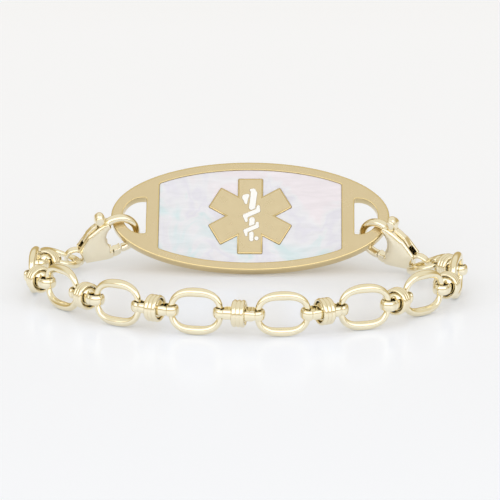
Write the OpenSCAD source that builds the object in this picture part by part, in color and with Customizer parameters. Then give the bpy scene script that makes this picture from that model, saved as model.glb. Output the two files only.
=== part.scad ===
// Medical alert bracelet, standing in a loop: an oval plaque with a pearl inlay and a raised
// six-armed star, two lobster clasps, ten oval links and nine ribbed connectors.
// Millimetres, +Z up, origin under the middle of the whole bracelet, on the surface it stands on.

/* [Plaque] */
// Length of the oval plaque
plaque_l = 44.5; // [41:0.5:50]
// Height of the oval plaque
plaque_h = 19; // [17:0.5:23]
// Thickness of the plaque
plaque_t = 1.8; // [1.5:0.1:2]
// Width of the border above and below the inlay
border_w = 1.38; // [1:0.02:1.8]
// Width of the rim at the plaque's two ends
rim_w = 1.85; // [1.6:0.05:1.95]
// Depth of the D-shaped slot at each end, measured along the plaque
slot_l = 3.75; // [3.4:0.05:4.5]
// Height of the D-shaped slot
slot_h = 6.2; // [5.9:0.1:6.7]
// Width of the bar between a slot and the inlay
bar_w = 2.05; // [1.5:0.05:3]
// Depth of the recess that holds the inlay
recess_d = 0.7; // [0.55:0.05:0.9]
// Angle by which the standing plaque leans back from upright
plaque_lean = 37.4; // [35:0.2:40]
// Angle by which the plaque is turned about the vertical
plaque_turn = -1.1; // [-2:0.1:0]

/* [Inlay and emblem] */
// Thickness of the pearl inlay
pearl_t = 0.5; // [0.35:0.05:0.65]
// Length of the star from one arm's end to the opposite one
star_l = 13.2; // [11:0.1:14]
// Width of each of the star's arms
star_arm_w = 4; // [3.7:0.1:4.6]
// Radius of the corners at the arms' ends
star_corner_r = 0.25; // [0.1:0.05:0.5]
// Thickness of the star plate
star_t = 0.68; // [0.6:0.02:0.9]
// Height over which the emblem's points are laid out
emblem_h = 9.2; // [7.5:0.1:9.6]
// Width over which the emblem's points are laid out
emblem_w = 3.1; // [2.9:0.1:3.3]
// Width of the enamel staff at its top
staff_w = 1.1; // [0.9:0.05:1.2]
// Width of the enamel serpent where it crosses the staff
serpent_w = 0.82; // [0.6:0.02:0.9]
// Width of the thin metal lines between two areas of enamel
line_gap = 0.16; // [0.12:0.01:0.2]
// Thickness of the enamel
enamel_t = 0.3; // [0.2:0.02:0.4]
// Height by which the enamel stands proud of the star
enamel_rise = 0.05; // [0.02:0.01:0.1]
// Clearance round everything that is set into metal
set_gap = 0.03; // [0.02:0.01:0.05]

/* [Links] */
// Outer length of an oval link
link_l = 8.2; // [7.8:0.1:8.8]
// Outer height of an oval link
link_h = 7.12; // [6.8:0.05:7.5]
// Wire diameter along the top and bottom of a link
wire_top_d = 1.38; // [1.1:0.02:1.5]
// Wire diameter at the two ends of a link
wire_end_d = 0.9; // [0.8:0.02:0.94]
// Squareness of the oval: 2 is an ellipse, more is squarer
link_square = 2.6; // [2.2:0.1:3]

/* [Connectors] */
// Height of the flat strap that is bent into a loop
strap_h = 1.5; // [1.3:0.05:1.55]
// Thickness of the strap
strap_t = 0.42; // [0.36:0.02:0.46]
// Relief along the strap's edges
strap_edge = 0.1; // [0.06:0.01:0.12]
// Clear width between the strap's two strands
strand_gap = 1.8; // [1.76:0.02:1.84]
// Play of a link's end in the strap's eye, along the chain
eye_play = 0.25; // [0.22:0.01:0.3]
// Diameter of the round core that joins a connector's two eyes, inside the ribbed ring
core_d = 2.96; // [2.9:0.02:3.04]
// Length of the core
core_l = 0.8; // [0.6:0.05:1.2]
// Bore of the ribbed ring
ring_bore = 3.16; // [3.14:0.02:3.3]
// Height of the ribbed ring's wall, from the bore to the top of a rib
ring_wall = 0.45; // [0.4:0.02:0.6]
// Radius of one rib
rib_r = 0.4; // [0.36:0.02:0.5]
// Spacing of the ribs along the chain
rib_pitch = 0.6; // [0.5:0.02:0.68]
// Number of ribs round the ring
rib_count = 3; // [2:1:4]

/* [Clasps] */
// Distance from the tail ring's centre to the hook's centre
clasp_reach = 8.05; // [7.9:0.05:8.6]
// Radius of the hook, to the outside of its wire
hook_r = 3.42; // [3.36:0.02:3.6]
// Width of the hook's wire, seen from the front
hook_wire_w = 1.17; // [1.05:0.02:1.21]
// Depth of the hook's wire, from front to back
hook_wire_t = 1.5; // [1.3:0.05:1.6]
// Drop of the hook's centre below the line through the tail ring
hook_drop = 0.35; // [0.25:0.05:0.45]
// Bore of the tail ring
tail_bore = 2.3; // [2.26:0.02:2.4]
// Width of the tail ring's wall, seen from the front
tail_wall = 0.58; // [0.5:0.02:0.6]
// Depth of the tail ring, from front to back
tail_t = 1.3; // [1.1:0.05:1.35]
// Thickness of the clasp's body at its middle
clasp_t = 3; // [2.8:0.05:3.3]
// Radius of the domed faces of the body
dome_r = 9; // [8.5:0.25:12]
// Width of the slot that the lever runs in
lever_slot_w = 1.16; // [1.12:0.02:1.3]
// Thickness of the lever
lever_t = 1; // [0.9:0.02:1.04]
// Diameter of the lever's pivot pin
pin_d = 0.8; // [0.7:0.05:0.9]
// Radial clearance between the pin and the lever's bore
pin_gap = 0.04; // [0.02:0.01:0.06]
// Wall of the lever round its bore
pivot_wall = 0.36; // [0.3:0.02:0.4]
// Depth of the lever's gate, from front to back
gate_t = 1.5; // [1.3:0.05:1.6]
// Gap between the closed gate and its neighbours
gate_gap = 0.1; // [0.08:0.01:0.16]
// Diameter of the thumb knob
knob_d = 1.5; // [1.3:0.05:1.6]
// Width of the thumb knob, from front to back
knob_w = 2; // [1.6:0.05:2.4]
// Height of the tail ring's lowest point above the surface
tail_rest = 0.2; // [0.16:0.02:0.3]

/* [Loop] */
// Distance from the front links to the foot of the plaque
loop_depth = 36.9; // [35.5:0.1:38.5]

/* [Hidden] */
$fn = 64;

// The chain's route, chosen by hand: x, y, heading and lean of each upright link
route = [[-33.35, 26, -94.4, 0], [-28.4, 14.8, -50.4, -2.1], [-19.6, 5.7, -30.5, 1.1],
    [-7.9, 0.7, -10.9, 0.1], [4.85, -0.7, 4, -8.4], [16.95, 3.2, 17.6, -3.6],
    [26.05, 11.4, 39.7, -2.7], [31.86, 22.4, 77, 0]];
// Where the route meets the two tail rings
route_end_left = [-28.1, 40.7];
route_end_right = [27.1, 36.4];
// Heading, pitch and lean of the two end links, which lie over on their sides
end_left = [-99.4, 6.2, -72.5];
end_right = [110, -13.8, -74.1];
// Place on an end link, as an angle, that runs through the tail ring, and how far off its centre,
// as shares of the ring's bore
catch_left = [215, -0.03, -0.226];
catch_right = [-5, 0.048, -0.174];
// Lean toward the viewer and turn of the two clasps
clasp_lean_left = 19;
clasp_lean_right = 14.3;
clasp_turn_left = 14.6;
clasp_turn_right = 34.3;
// The hooks' centres: outside the slot, above the plaque's middle, in front of mid-thickness,
// as shares of the slot's height
hook_at_left = slot_h * [0.1, -0.408, -0.079];
hook_at_right = slot_h * [0.0129, -0.5387, -0.05];

metal = [0.86, 0.76, 0.52];
polished = [0.93, 0.88, 0.72];

oval_steps = 120;
slot_end_x = plaque_l / 2 - rim_w;
slot_flat_x = slot_end_x - slot_l;
inlay_x = slot_flat_x - bar_w;

// Half sizes of a link's centre line
link_a = (link_l - wire_end_d) / 2;
link_b = (link_h - wire_top_d) / 2;
link_rings = 36;
wire_sides = 12;

tail_r = tail_bore / 2 + tail_wall;
hook_line_r = hook_r - hook_wire_w / 2;
ring_l = (rib_count - 1) * rib_pitch + 2 * rib_r;

// General helpers
function unit(v) = v / norm(v);
function at(v, e) = v - e * (v * e);
function columns(e, w, u, c) = [[e.x, w.x, u.x, c.x], [e.y, w.y, u.y, c.y],
    [e.z, w.z, u.z, c.z], [0, 0, 0, 1]];

// Turn about z, tilt about x, as matrices that act on columns
function about_x(a) = [[1, 0, 0], [0, cos(a), -sin(a)], [0, sin(a), cos(a)]];
function about_y(a) = [[cos(a), 0, sin(a)], [0, 1, 0], [-sin(a), 0, cos(a)]];
function about_z(a) = [[cos(a), -sin(a), 0], [sin(a), cos(a), 0], [0, 0, 1]];

// A point given along the plaque, up from its middle and forward from its back
plaque_axes = about_z(plaque_turn) * about_x(90 - plaque_lean);
function on_plaque(p, q, n) = [0, loop_depth, 0] + plaque_axes * [p, q + plaque_h / 2, n];

// Clasps: the rise follows from the heights of the hook and of the tail ring
hook_left = on_plaque(-slot_end_x - hook_at_left[0], hook_at_left[1],
    plaque_t / 2 + hook_at_left[2]);
hook_right = on_plaque(slot_end_x + hook_at_right[0], hook_at_right[1],
    plaque_t / 2 + hook_at_right[2]);
tail_z = tail_r + tail_rest;
function clasp_rise(z, lean) = atan(hook_drop / clasp_reach)
    + asin((z - tail_z) / (cos(lean) * norm([clasp_reach, hook_drop])));
function clasp_axes(z, lean, turn) = about_z(turn) * about_x(lean)
    * about_y(-clasp_rise(z, lean)) * about_x(90);
flip = [[-1, 0, 0], [0, 1, 0], [0, 0, 1]];
axes_left = clasp_axes(hook_left.z, clasp_lean_left, clasp_turn_left);
axes_right = flip * clasp_axes(hook_right.z, clasp_lean_right, clasp_turn_right);
tail_left = hook_left - axes_left * [clasp_reach, -hook_drop, 0];
tail_right = hook_right - axes_right * [clasp_reach, -hook_drop, 0];

// Links: axes, centre line and wire radius
function link_e(s) = [cos(s[1]) * cos(s[0]), cos(s[1]) * sin(s[0]), sin(s[1])];
function link_side(s) = [-sin(s[0]), cos(s[0]), 0];
function link_u(s) = cos(s[2]) * cross(link_e(s), link_side(s)) + sin(s[2]) * link_side(s);
function link_w(s) = cos(s[2]) * link_side(s) - sin(s[2]) * cross(link_e(s), link_side(s));
function rho(a) = pow(pow(abs(cos(a)) / link_a, link_square)
    + pow(abs(sin(a)) / link_b, link_square), -1 / link_square);
function slope(v, half) = sign(v) * pow(abs(v) / half, link_square - 1) / half;
function wire_r(a) = wire_end_d / 2 + (wire_top_d - wire_end_d) / 2 * pow(sin(a), 2);
function line_at(a) = rho(a) * [cos(a), 0, sin(a)];
function normal_at(a) = unit([slope(line_at(a).x, link_a), 0, slope(line_at(a).z, link_b)]);

function follow(s, tail, end) = [s[0] * tail.x / end.x, s[1] * tail.y / end.y,
    wire_top_d / 2 + link_b * cos(s[3])];
function upright_pose(s) = [s[2], 0, s[3]];
function turned(s, v) = v.x * link_e(s) + v.y * link_w(s) + v.z * link_u(s);
function caught(s, c, tail, axes) = tail + axes * [c[1], c[2], 0] * tail_bore
    - turned(s, line_at(c[0]));

poses = concat([end_left], [for (s = route) upright_pose(s)], [end_right]);
centres = concat([caught(end_left, catch_left, tail_left, axes_left)],
    [for (i = [0:3]) follow(route[i], tail_left, route_end_left)],
    [for (i = [4:7]) follow(route[i], tail_right, route_end_right)],
    [caught(end_right, catch_right, tail_right, axes_right)]);

// Connectors run from the end of one link to the start of the next
function bar_out(i) = centres[i - 1] + link_a * link_e(poses[i - 1]);
function bar_in(i) = centres[i - 1] - link_a * link_e(poses[i - 1]);
function span(i) = bar_in(i + 1) - bar_out(i);
function span_middle(i) = (bar_in(i + 1) + bar_out(i)) / 2;
function rise(i, k) = unit(at(link_u(poses[k - 1]), unit(span(i))));
ring_r = ring_bore / 2 + ring_wall;
function ring_half(i, k) = ring_r * sqrt(1 - pow(unit(span(i))[k], 2))
    + ring_l / 2 * abs(unit(span(i))[k]);
function eye_reach(i) = norm(span(i)) / 2 + wire_end_d / 2 + eye_play;
function eye_edge(i, way, relief) = let(k = way < 0 ? i : i + 1, u = rise(i, k).x)
    span_middle(i).x + way * unit(span(i)).x * (eye_reach(i) - strand_gap / 2)
    + sign(span_middle(i).x) * ((strand_gap / 2 + strap_t - relief) * sqrt(1 - u * u)
    + (strap_h / 2 - 2 * strap_edge + 2 * relief) * abs(u));

// The middle of everything, so that the origin lies under it
reach_x = concat([for (i = [0:9]) for (a = [0:10:350]) for (k = [-1, 1])
    (centres[i] + turned(poses[i], line_at(a))).x + k * wire_r(a)],
    [for (i = [1:9]) for (k = [-1, 1]) span_middle(i).x + k * ring_half(i, 0)],
    [for (i = [1:9]) for (k = [-1, 1]) for (relief = [0, strap_edge]) eye_edge(i, k, relief)]);
reach_y = concat([for (i = [0:9]) for (a = [0:10:350])
    (centres[i] + turned(poses[i], line_at(a))).y - wire_r(a)],
    [for (i = [1:9]) span_middle(i).y - ring_half(i, 1)]);
back_reach = plaque_h / 2 * sin(plaque_lean) * cos(plaque_turn);
back_y = loop_depth + back_reach + norm([back_reach, plaque_l / 2 * sin(plaque_turn)]);
middle = [(min(reach_x) + max(reach_x)) / 2, (min(reach_y) + back_y) / 2, 0];

// Places
module on_floor() {
    translate(-middle) children();
}

module in_plaque() {
    on_floor() multmatrix(columns(plaque_axes * [1, 0, 0], plaque_axes * [0, 1, 0],
        plaque_axes * [0, 0, 1], on_plaque(0, 0, 0))) children();
}

module in_left_clasp() {
    on_floor() multmatrix(columns(axes_left * [1, 0, 0], axes_left * [0, 1, 0],
        axes_left * [0, 0, 1], tail_left)) children();
}

module in_right_clasp() {
    on_floor() multmatrix(columns(axes_right * [1, 0, 0], axes_right * [0, 1, 0],
        axes_right * [0, 0, 1], tail_right)) children();
}

// Plaque, inlay and emblem
function oval(a, b) = [for (i = [0:oval_steps - 1])
    [a * cos(360 * i / oval_steps), b * sin(360 * i / oval_steps)]];

module inlay_shape(gap) {
    intersection() {
        polygon(oval(plaque_l / 2 - rim_w - gap, plaque_h / 2 - border_w - gap));
        square([2 * (inlay_x - gap), plaque_h], center = true);
    }
}

module slot_shape() {
    intersection() {
        translate([slot_flat_x, -slot_h / 2]) square([plaque_l, slot_h]);
        union() {
            translate([slot_end_x - slot_h / 2, 0]) circle(d = slot_h);
            translate([slot_flat_x - 1, -slot_h / 2])
                square([slot_end_x - slot_h / 2 - slot_flat_x + 1, slot_h]);
        }
    }
}

module arm_shape(grow) {
    x = star_arm_w / 2 - star_corner_r;
    y = star_l / 2 - star_corner_r;
    square([star_arm_w + 2 * grow, 2 * y], center = true);
    square([2 * x, star_l + 2 * grow], center = true);
    for (sx = [-x, x]) {
        for (sy = [-y, y]) {
            translate([sx, sy]) circle(r = star_corner_r + grow);
        }
    }
}

module star_shape(grow) {
    for (a = [0, 60, 120]) {
        rotate(a) arm_shape(grow);
    }
}

// A trail of round-ended strokes; each point is a share of half the emblem's width and height,
// with the width of the trail there
function spot(p) = [p[0] * emblem_w / 2, p[1] * emblem_h / 2];
module trail(points, grow) {
    for (p = points) {
        translate(spot(p)) circle(r = p[2] / 2 + grow);
    }
    for (i = [1:1:len(points) - 1]) {
        pa = spot(points[i - 1]);
        pb = spot(points[i]);
        d = (pb - pa) / norm(pb - pa);
        n = [-d.y, d.x] * 0.94;
        ra = points[i - 1][2] / 2 + grow;
        rb = points[i][2] / 2 + grow;
        polygon([pa + n * ra, pa - n * ra, pb - n * rb, pb + n * rb]);
    }
}

module serpent_shape(grow) {
    w = serpent_w;
    trail([[-0.3, 0.765, w * 0.8], [-0.52, 0.7, w * 1.3], [-0.45, 0.5, w * 0.6]], grow);
    trail([[0.82, 0.34, w * 0.7], [0.8, 0.2, w * 0.95], [-0.5, -0.01, w],
        [-0.4, -0.19, w * 0.6]], grow);
    trail([[0.74, -0.29, w * 0.65], [0.7, -0.4, w * 0.85], [-0.44, -0.58, w * 0.9],
        [-0.38, -0.74, w * 0.5]], grow);
    trail([[0.68, -0.86, w * 0.85]], grow);
}

module staff_shape(grow) {
    w = staff_w;
    difference() {
        union() {
            trail([[0.1, 0.975, w * 0.5], [0.3, 0.955, w * 0.75], [0.36, 0.85, w],
                [0.2, 0.33, w * 0.98]], grow);
            trail([[0.2, -0.16, w * 0.86], [0.18, -0.33, w * 0.84]], grow);
            trail([[0.15, -0.68, w * 0.68], [0.15, -0.89, w * 0.66]], grow);
        }
        serpent_shape(line_gap - grow);
    }
}

module enamel(gap) {
    translate([0, 0, plaque_t - recess_d + set_gap + star_t + enamel_rise - enamel_t - gap])
        linear_extrude(enamel_t + 20 * gap) children();
}

module plaque_solid() {
    difference() {
        linear_extrude(plaque_t) polygon(oval(plaque_l / 2, plaque_h / 2));
        translate([0, 0, plaque_t - recess_d]) linear_extrude(recess_d + 1) inlay_shape(0);
        for (m = [0, 1]) {
            translate([0, 0, -1]) mirror([m, 0, 0]) linear_extrude(plaque_t + 2) slot_shape();
        }
    }
}

module pearl_solid() {
    translate([0, 0, plaque_t - recess_d + set_gap]) linear_extrude(pearl_t) {
        difference() {
            inlay_shape(set_gap);
            star_shape(set_gap);
        }
    }
}

module star_solid() {
    difference() {
        translate([0, 0, plaque_t - recess_d + set_gap]) linear_extrude(star_t) star_shape(0);
        enamel(set_gap) serpent_shape(set_gap);
        enamel(set_gap) staff_shape(set_gap);
    }
}

// Links
function wire_ring(a) = [for (j = [0:wire_sides - 1])
    let(t = 360 * j / wire_sides)
    line_at(a) + wire_r(a) * (cos(t) * normal_at(a) + [0, sin(t), 0])];

function tube_faces(n, m) = [for (i = [0:n - 1]) for (j = [0:m - 1])
    let(a = i * m, b = ((i + 1) % n) * m, k = (j + 1) % m)
    for (f = [[a + j, b + j, b + k], [a + j, b + k, a + k]]) f];

module link_solid() {
    polyhedron(points = [for (i = [0:link_rings - 1]) each wire_ring(360 * i / link_rings)],
        faces = tube_faces(link_rings, wire_sides), convexity = 4);
}

module link(i) {
    color(polished) on_floor() multmatrix(columns(link_e(poses[i - 1]), link_w(poses[i - 1]),
        link_u(poses[i - 1]), centres[i - 1])) link_solid();
}

// Connectors: two strap eyes on a round core, each turned with its own link, and a ribbed ring
module in_connector(i, k) {
    e = unit(span(i));
    u = rise(i, k);
    on_floor() multmatrix(columns(e, cross(u, e), u, span_middle(i))) children();
}

module stadium(l, w) {
    square([l - w, w], center = true);
    for (s = [-1, 1]) {
        translate([s * (l - w) / 2, 0]) circle(d = w);
    }
}

module eye_layer(reach, h, relief) {
    translate([0, 0, -h / 2]) linear_extrude(h) intersection() {
        difference() {
            stadium(2 * (reach + strap_t - relief), strand_gap + 2 * strap_t - 2 * relief);
            stadium(2 * (reach + relief), strand_gap + 2 * relief);
        }
        translate([core_l / 4, -core_d]) square([reach + core_d, 2 * core_d]);
    }
}

module eye(i) {
    eye_layer(eye_reach(i), strap_h - 4 * strap_edge, 0);
    eye_layer(eye_reach(i), strap_h, strap_edge);
}

module connector_loop(i) {
    color(polished) {
        in_connector(i, i) rotate([0, 0, 180]) eye(i);
        in_connector(i, i + 1) eye(i);
        in_connector(i, i) rotate([0, 90, 0]) cylinder(d = core_d, h = core_l, center = true);
    }
}

module ribbed_ring(i) {
    color(metal) in_connector(i, i) rotate([0, 90, 0]) rotate_extrude() {
        difference() {
            union() {
                for (k = [0:rib_count - 1]) {
                    translate([ring_r - rib_r, rib_pitch * (k - (rib_count - 1) / 2)]) circle(r = rib_r);
                }
                translate([ring_bore / 2, -ring_l / 2 + rib_r / 2])
                    square([ring_wall / 2, ring_l - rib_r]);
            }
            translate([0, -ring_l]) square([ring_bore / 2, 2 * ring_l]);
        }
    }
}

// Clasps, with the tail ring's centre at the origin and the hook's centre along +x.
// Outline points are shares of the clasp's reach and of the hook's radius.
function clasp_spot(p) = [p[0] * clasp_reach, p[1] * hook_r];
hook_c = [clasp_reach, -hook_drop];
pivot = clasp_spot([0.366, -0.263]);
gate_r = norm(clasp_spot([0.834, -0.95]) - pivot);
gate_from_r = norm(clasp_spot([0.65, -0.93]) - pivot);
knob_at = clasp_spot([0.84, 1.115]);
hub_r = pin_d / 2 + pin_gap + pivot_wall;
root_x = 0.82 * clasp_reach;
rib_w = 0.45;

module outline(points) {
    polygon([for (p = points) clasp_spot(p)]);
}

// Bottom edge of the body, from the tail ring to the gate, raised by a distance
function raised(a, b, h) = let(d = unit(clasp_spot(b) - clasp_spot(a)))
    clasp_spot(a) + h * [-d.y, d.x];

module body_shape() {
    outline([[0.14, -0.44], [0.273, -0.585], [0.517, -0.857], [0.617, -0.93], [0.733, -1.006],
        [0.733, -0.3], [0.97, 0.5], [0.95, 0.8], [0.87, 0.85], [0.745, 0.85], [0.472, 0.745],
        [0.15, 0.36]]);
}

module opening_shape() {
    translate(hook_c) circle(r = hook_r - hook_wire_w);
    outline([[0.894, 0.555], [0.652, -0.57], [0.857, -0.775], [1.05, -0.15]]);
}

module gate_zone() {
    intersection() {
        difference() {
            translate(pivot) circle(r = gate_r + gate_gap);
            translate(pivot) circle(r = gate_from_r - gate_gap);
        }
        translate(pivot) polygon([[0, 0], [20, 1], [20, -40]]);
    }
}

module lever_slot_shape() {
    low_a = [0.273, -0.585];
    low_b = [0.517, -0.857];
    low_c = [0.617, -0.93];
    difference() {
        polygon([[0.12 * clasp_reach, 2 * hook_r], [root_x, 2 * hook_r],
            [root_x, 0.53 * hook_r], [0.9 * clasp_reach, 0.53 * hook_r],
            [0.9 * clasp_reach, -1.1 * hook_r], [0.66 * clasp_reach, -1.1 * hook_r],
            raised(low_c, [0.733, -1.006], rib_w),
            raised(low_b, low_c, rib_w), raised(low_a, low_b, rib_w),
            [0.17 * clasp_reach, -0.3 * hook_r]]);
        circle(r = tail_r + 0.02);
    }
}

module torus(line_r, wide, deep, from, sweep) {
    rotate([0, 0, from]) rotate_extrude(angle = sweep) translate([line_r, 0]) {
        square([wide, deep - wide], center = true);
        for (s = [-1, 1]) {
            translate([0, s * (deep - wide) / 2]) circle(d = wide);
        }
    }
}

module layer(thick) {
    translate([0, 0, -thick / 2]) linear_extrude(thick) children();
}

module clasp_body() {
    dome_c = 0.56 * clasp_reach;
    difference() {
        union() {
            difference() {
                intersection() {
                    layer(clasp_t) body_shape();
                    for (s = [-1, 1]) {
                        translate([dome_c, 0, s * (clasp_t / 2 - dome_r)]) sphere(r = dome_r);
                    }
                }
                layer(lever_slot_w) lever_slot_shape();
                layer(2 * clasp_t) opening_shape();
            }
            translate(hook_c) torus(hook_line_r, hook_wire_w, hook_wire_t, -128, 244);
            torus(tail_r - tail_wall / 2, tail_wall, tail_t, 0, 360);
            translate(pivot) cylinder(d = pin_d, h = clasp_t - 0.5, center = true);
        }
        layer(2 * clasp_t) gate_zone();
        cylinder(d = tail_bore - 0.4, h = 2 * clasp_t, center = true);
    }
}

module clasp_lever() {
    low_a = [0.273, -0.585];
    low_b = [0.517, -0.857];
    low_c = [0.617, -0.93];
    difference() {
        union() {
            layer(lever_t) {
                translate(pivot) circle(r = hub_r);
                outline([[0.323, 0.468], [0.323, 0.6], [0.478, 0.86], [0.609, 0.955],
                    [0.745, 1.0], [0.84, 1.115], [0.845, 1.0], [0.79, 0.9], [0.65, 0.76],
                    [0.56, 0.47], [0.51, 0.06], [0.5, -0.175], [0.366, -0.263],
                    [0.29, -0.263]]);
                intersection() {
                    polygon([pivot, clasp_spot([0.5, -0.175]), clasp_spot([0.655, -0.57]),
                        clasp_spot([0.733, -0.65]), clasp_spot([0.733, -1]),
                        raised(low_c, [0.733, -1.006], rib_w + gate_gap),
                        raised(low_b, low_c, rib_w + gate_gap),
                        raised(low_a, low_b, rib_w + gate_gap)]);
                    translate(pivot) circle(r = gate_from_r + 0.2);
                }
            }
            layer(gate_t) intersection() {
                outline([[0.58, -0.9], [0.617, -0.93], [0.713, -1.009], [0.795, -1.006],
                    [0.9, -0.94], [0.9, -0.69], [0.82, -0.716], [0.658, -0.57],
                    [0.6, -0.6]]);
                difference() {
                    translate(pivot) circle(r = gate_r);
                    translate(pivot) circle(r = gate_from_r);
                }
            }
            intersection() {
                translate(knob_at) cylinder(d = knob_d, h = knob_w, center = true);
                translate(knob_at) sphere(d = norm([knob_d, knob_w]) * 0.93);
            }
        }
        translate(pivot) cylinder(d = pin_d + 2 * pin_gap, h = 2 * clasp_t, center = true);
    }
}

// One module for each piece
module plaque() { color(metal) in_plaque() plaque_solid(); }
module pearl_inlay() { color([0.9, 0.88, 0.93]) in_plaque() pearl_solid(); }
module medical_star() { color([0.88, 0.8, 0.6]) in_plaque() star_solid(); }
module enamel_serpent() { color("white") in_plaque() enamel(0) serpent_shape(0); }
module enamel_staff() { color("white") in_plaque() enamel(0) staff_shape(0); }
module clasp_body_left() { color(polished) in_left_clasp() clasp_body(); }
module clasp_lever_left() { color(metal) in_left_clasp() clasp_lever(); }
module clasp_body_right() { color(polished) in_right_clasp() clasp_body(); }
module clasp_lever_right() { color(metal) in_right_clasp() clasp_lever(); }
module link_1() { link(1); }
module link_2() { link(2); }
module link_3() { link(3); }
module link_4() { link(4); }
module link_5() { link(5); }
module link_6() { link(6); }
module link_7() { link(7); }
module link_8() { link(8); }
module link_9() { link(9); }
module link_10() { link(10); }
module connector_loop_1() { connector_loop(1); }
module connector_loop_2() { connector_loop(2); }
module connector_loop_3() { connector_loop(3); }
module connector_loop_4() { connector_loop(4); }
module connector_loop_5() { connector_loop(5); }
module connector_loop_6() { connector_loop(6); }
module connector_loop_7() { connector_loop(7); }
module connector_loop_8() { connector_loop(8); }
module connector_loop_9() { connector_loop(9); }
module ribbed_ring_1() { ribbed_ring(1); }
module ribbed_ring_2() { ribbed_ring(2); }
module ribbed_ring_3() { ribbed_ring(3); }
module ribbed_ring_4() { ribbed_ring(4); }
module ribbed_ring_5() { ribbed_ring(5); }
module ribbed_ring_6() { ribbed_ring(6); }
module ribbed_ring_7() { ribbed_ring(7); }
module ribbed_ring_8() { ribbed_ring(8); }
module ribbed_ring_9() { ribbed_ring(9); }

plaque();
pearl_inlay();
medical_star();
enamel_serpent();
enamel_staff();
clasp_body_left();
clasp_lever_left();
clasp_body_right();
clasp_lever_right();
link_1();
link_2();
link_3();
link_4();
link_5();
link_6();
link_7();
link_8();
link_9();
link_10();
connector_loop_1();
connector_loop_2();
connector_loop_3();
connector_loop_4();
connector_loop_5();
connector_loop_6();
connector_loop_7();
connector_loop_8();
connector_loop_9();
ribbed_ring_1();
ribbed_ring_2();
ribbed_ring_3();
ribbed_ring_4();
ribbed_ring_5();
ribbed_ring_6();
ribbed_ring_7();
ribbed_ring_8();
ribbed_ring_9();
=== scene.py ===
# A medical alert bracelet standing in a loop: plaque with pearl inlay and star, two clasps,
# ten oval links and nine ribbed connectors, on a pale floor under soft light.
import math
import bmesh
import bpy
import numpy as np
from mathutils import Matrix, Vector
from mathutils.geometry import tessellate_polygon


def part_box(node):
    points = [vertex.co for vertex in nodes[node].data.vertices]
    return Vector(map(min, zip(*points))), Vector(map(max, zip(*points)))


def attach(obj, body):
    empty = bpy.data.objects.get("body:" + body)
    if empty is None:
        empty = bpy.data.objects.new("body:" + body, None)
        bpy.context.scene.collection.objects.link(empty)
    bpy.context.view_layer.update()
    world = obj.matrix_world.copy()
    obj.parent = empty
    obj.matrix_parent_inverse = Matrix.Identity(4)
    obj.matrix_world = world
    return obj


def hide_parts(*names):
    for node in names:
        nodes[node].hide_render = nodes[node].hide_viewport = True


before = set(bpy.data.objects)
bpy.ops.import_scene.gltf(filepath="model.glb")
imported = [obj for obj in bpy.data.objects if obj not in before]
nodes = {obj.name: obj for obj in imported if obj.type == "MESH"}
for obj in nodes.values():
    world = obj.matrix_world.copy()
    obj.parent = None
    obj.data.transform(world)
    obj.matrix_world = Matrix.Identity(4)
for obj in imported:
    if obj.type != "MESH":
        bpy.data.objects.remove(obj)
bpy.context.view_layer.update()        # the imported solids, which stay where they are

mm = 0.001


# Node helpers: a feed is a value, or the socket that it comes from
def add(tree, kind, feeds=None, **settings):
    node = tree.nodes.new(kind)
    for key, value in settings.items():
        setattr(node, key, value)
    for key, value in (feeds or {}).items():
        if isinstance(value, bpy.types.NodeSocket):
            tree.links.new(value, node.inputs[key])
        else:
            node.inputs[key].default_value = value
    return node


def calc(tree, operation, *values):
    return add(tree, "ShaderNodeMath", dict(enumerate(values)), operation=operation).outputs[0]


# A value taken from one span to another, and held at its ends
def remap(tree, value, span, result=(0.0, 1.0), **settings):
    feeds = {0: value, 1: span[0], 2: span[1], 3: result[0], 4: result[1]}
    return add(tree, "ShaderNodeMapRange", feeds, **settings).outputs[0]


def mix(tree, share, before, after):
    return add(tree, "ShaderNodeMix", {0: share, 2: before, 3: after}).outputs[0]


# A mix of two colours, each a socket or three numbers
def blend(tree, share, before, after, **settings):
    first, second = [tone if isinstance(tone, bpy.types.NodeSocket) else (*tone, 1)
                     for tone in (before, after)]
    return add(tree, "ShaderNodeMix", {0: share, 6: first, 7: second}, data_type="RGBA",
               **settings).outputs[2]


def split(tree, vector):
    return add(tree, "ShaderNodeSeparateXYZ", {0: vector}).outputs


def point(tree, x=0.0, y=0.0, z=0.0):
    return add(tree, "ShaderNodeCombineXYZ", {0: x, 1: y, 2: z}).outputs[0]


def noise(tree, place, scale, detail=2.0, twist=0.0):
    return add(tree, "ShaderNodeTexNoise", {"Vector": place, "Scale": scale, "Detail": detail,
               "Distortion": twist}).outputs


def objectPlace(tree, scale=(1, 1, 1), turn=(0, 0, 0)):
    place = add(tree, "ShaderNodeTexCoord").outputs["Object"]
    return add(tree, "ShaderNodeMapping", {"Vector": place, "Rotation": turn, "Scale": scale}).outputs[0]


def newFinish(name):
    material = bpy.data.materials.new(name)
    material.use_nodes = True
    tree = material.node_tree
    return material, tree, tree.nodes["Principled BSDF"]


# Camera: its place, lens and sensor in mm, and its nearest distance in metres
view = {"place": (0.512, -420.31, 108.8), "down": 13.56, "lens": 202.75, "sensor": 36, "near": 0.01}


def setCamera():
    camera = bpy.data.objects.new("camera", bpy.data.cameras.new("camera"))
    bpy.context.scene.collection.objects.link(camera)
    camera.data.lens = view["lens"]
    camera.data.sensor_width = view["sensor"]
    camera.data.clip_start = view["near"]
    camera.location = Vector(view["place"]) * mm
    camera.rotation_euler = (math.radians(90 - view["down"]), 0, 0)
    bpy.context.scene.camera = camera


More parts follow.
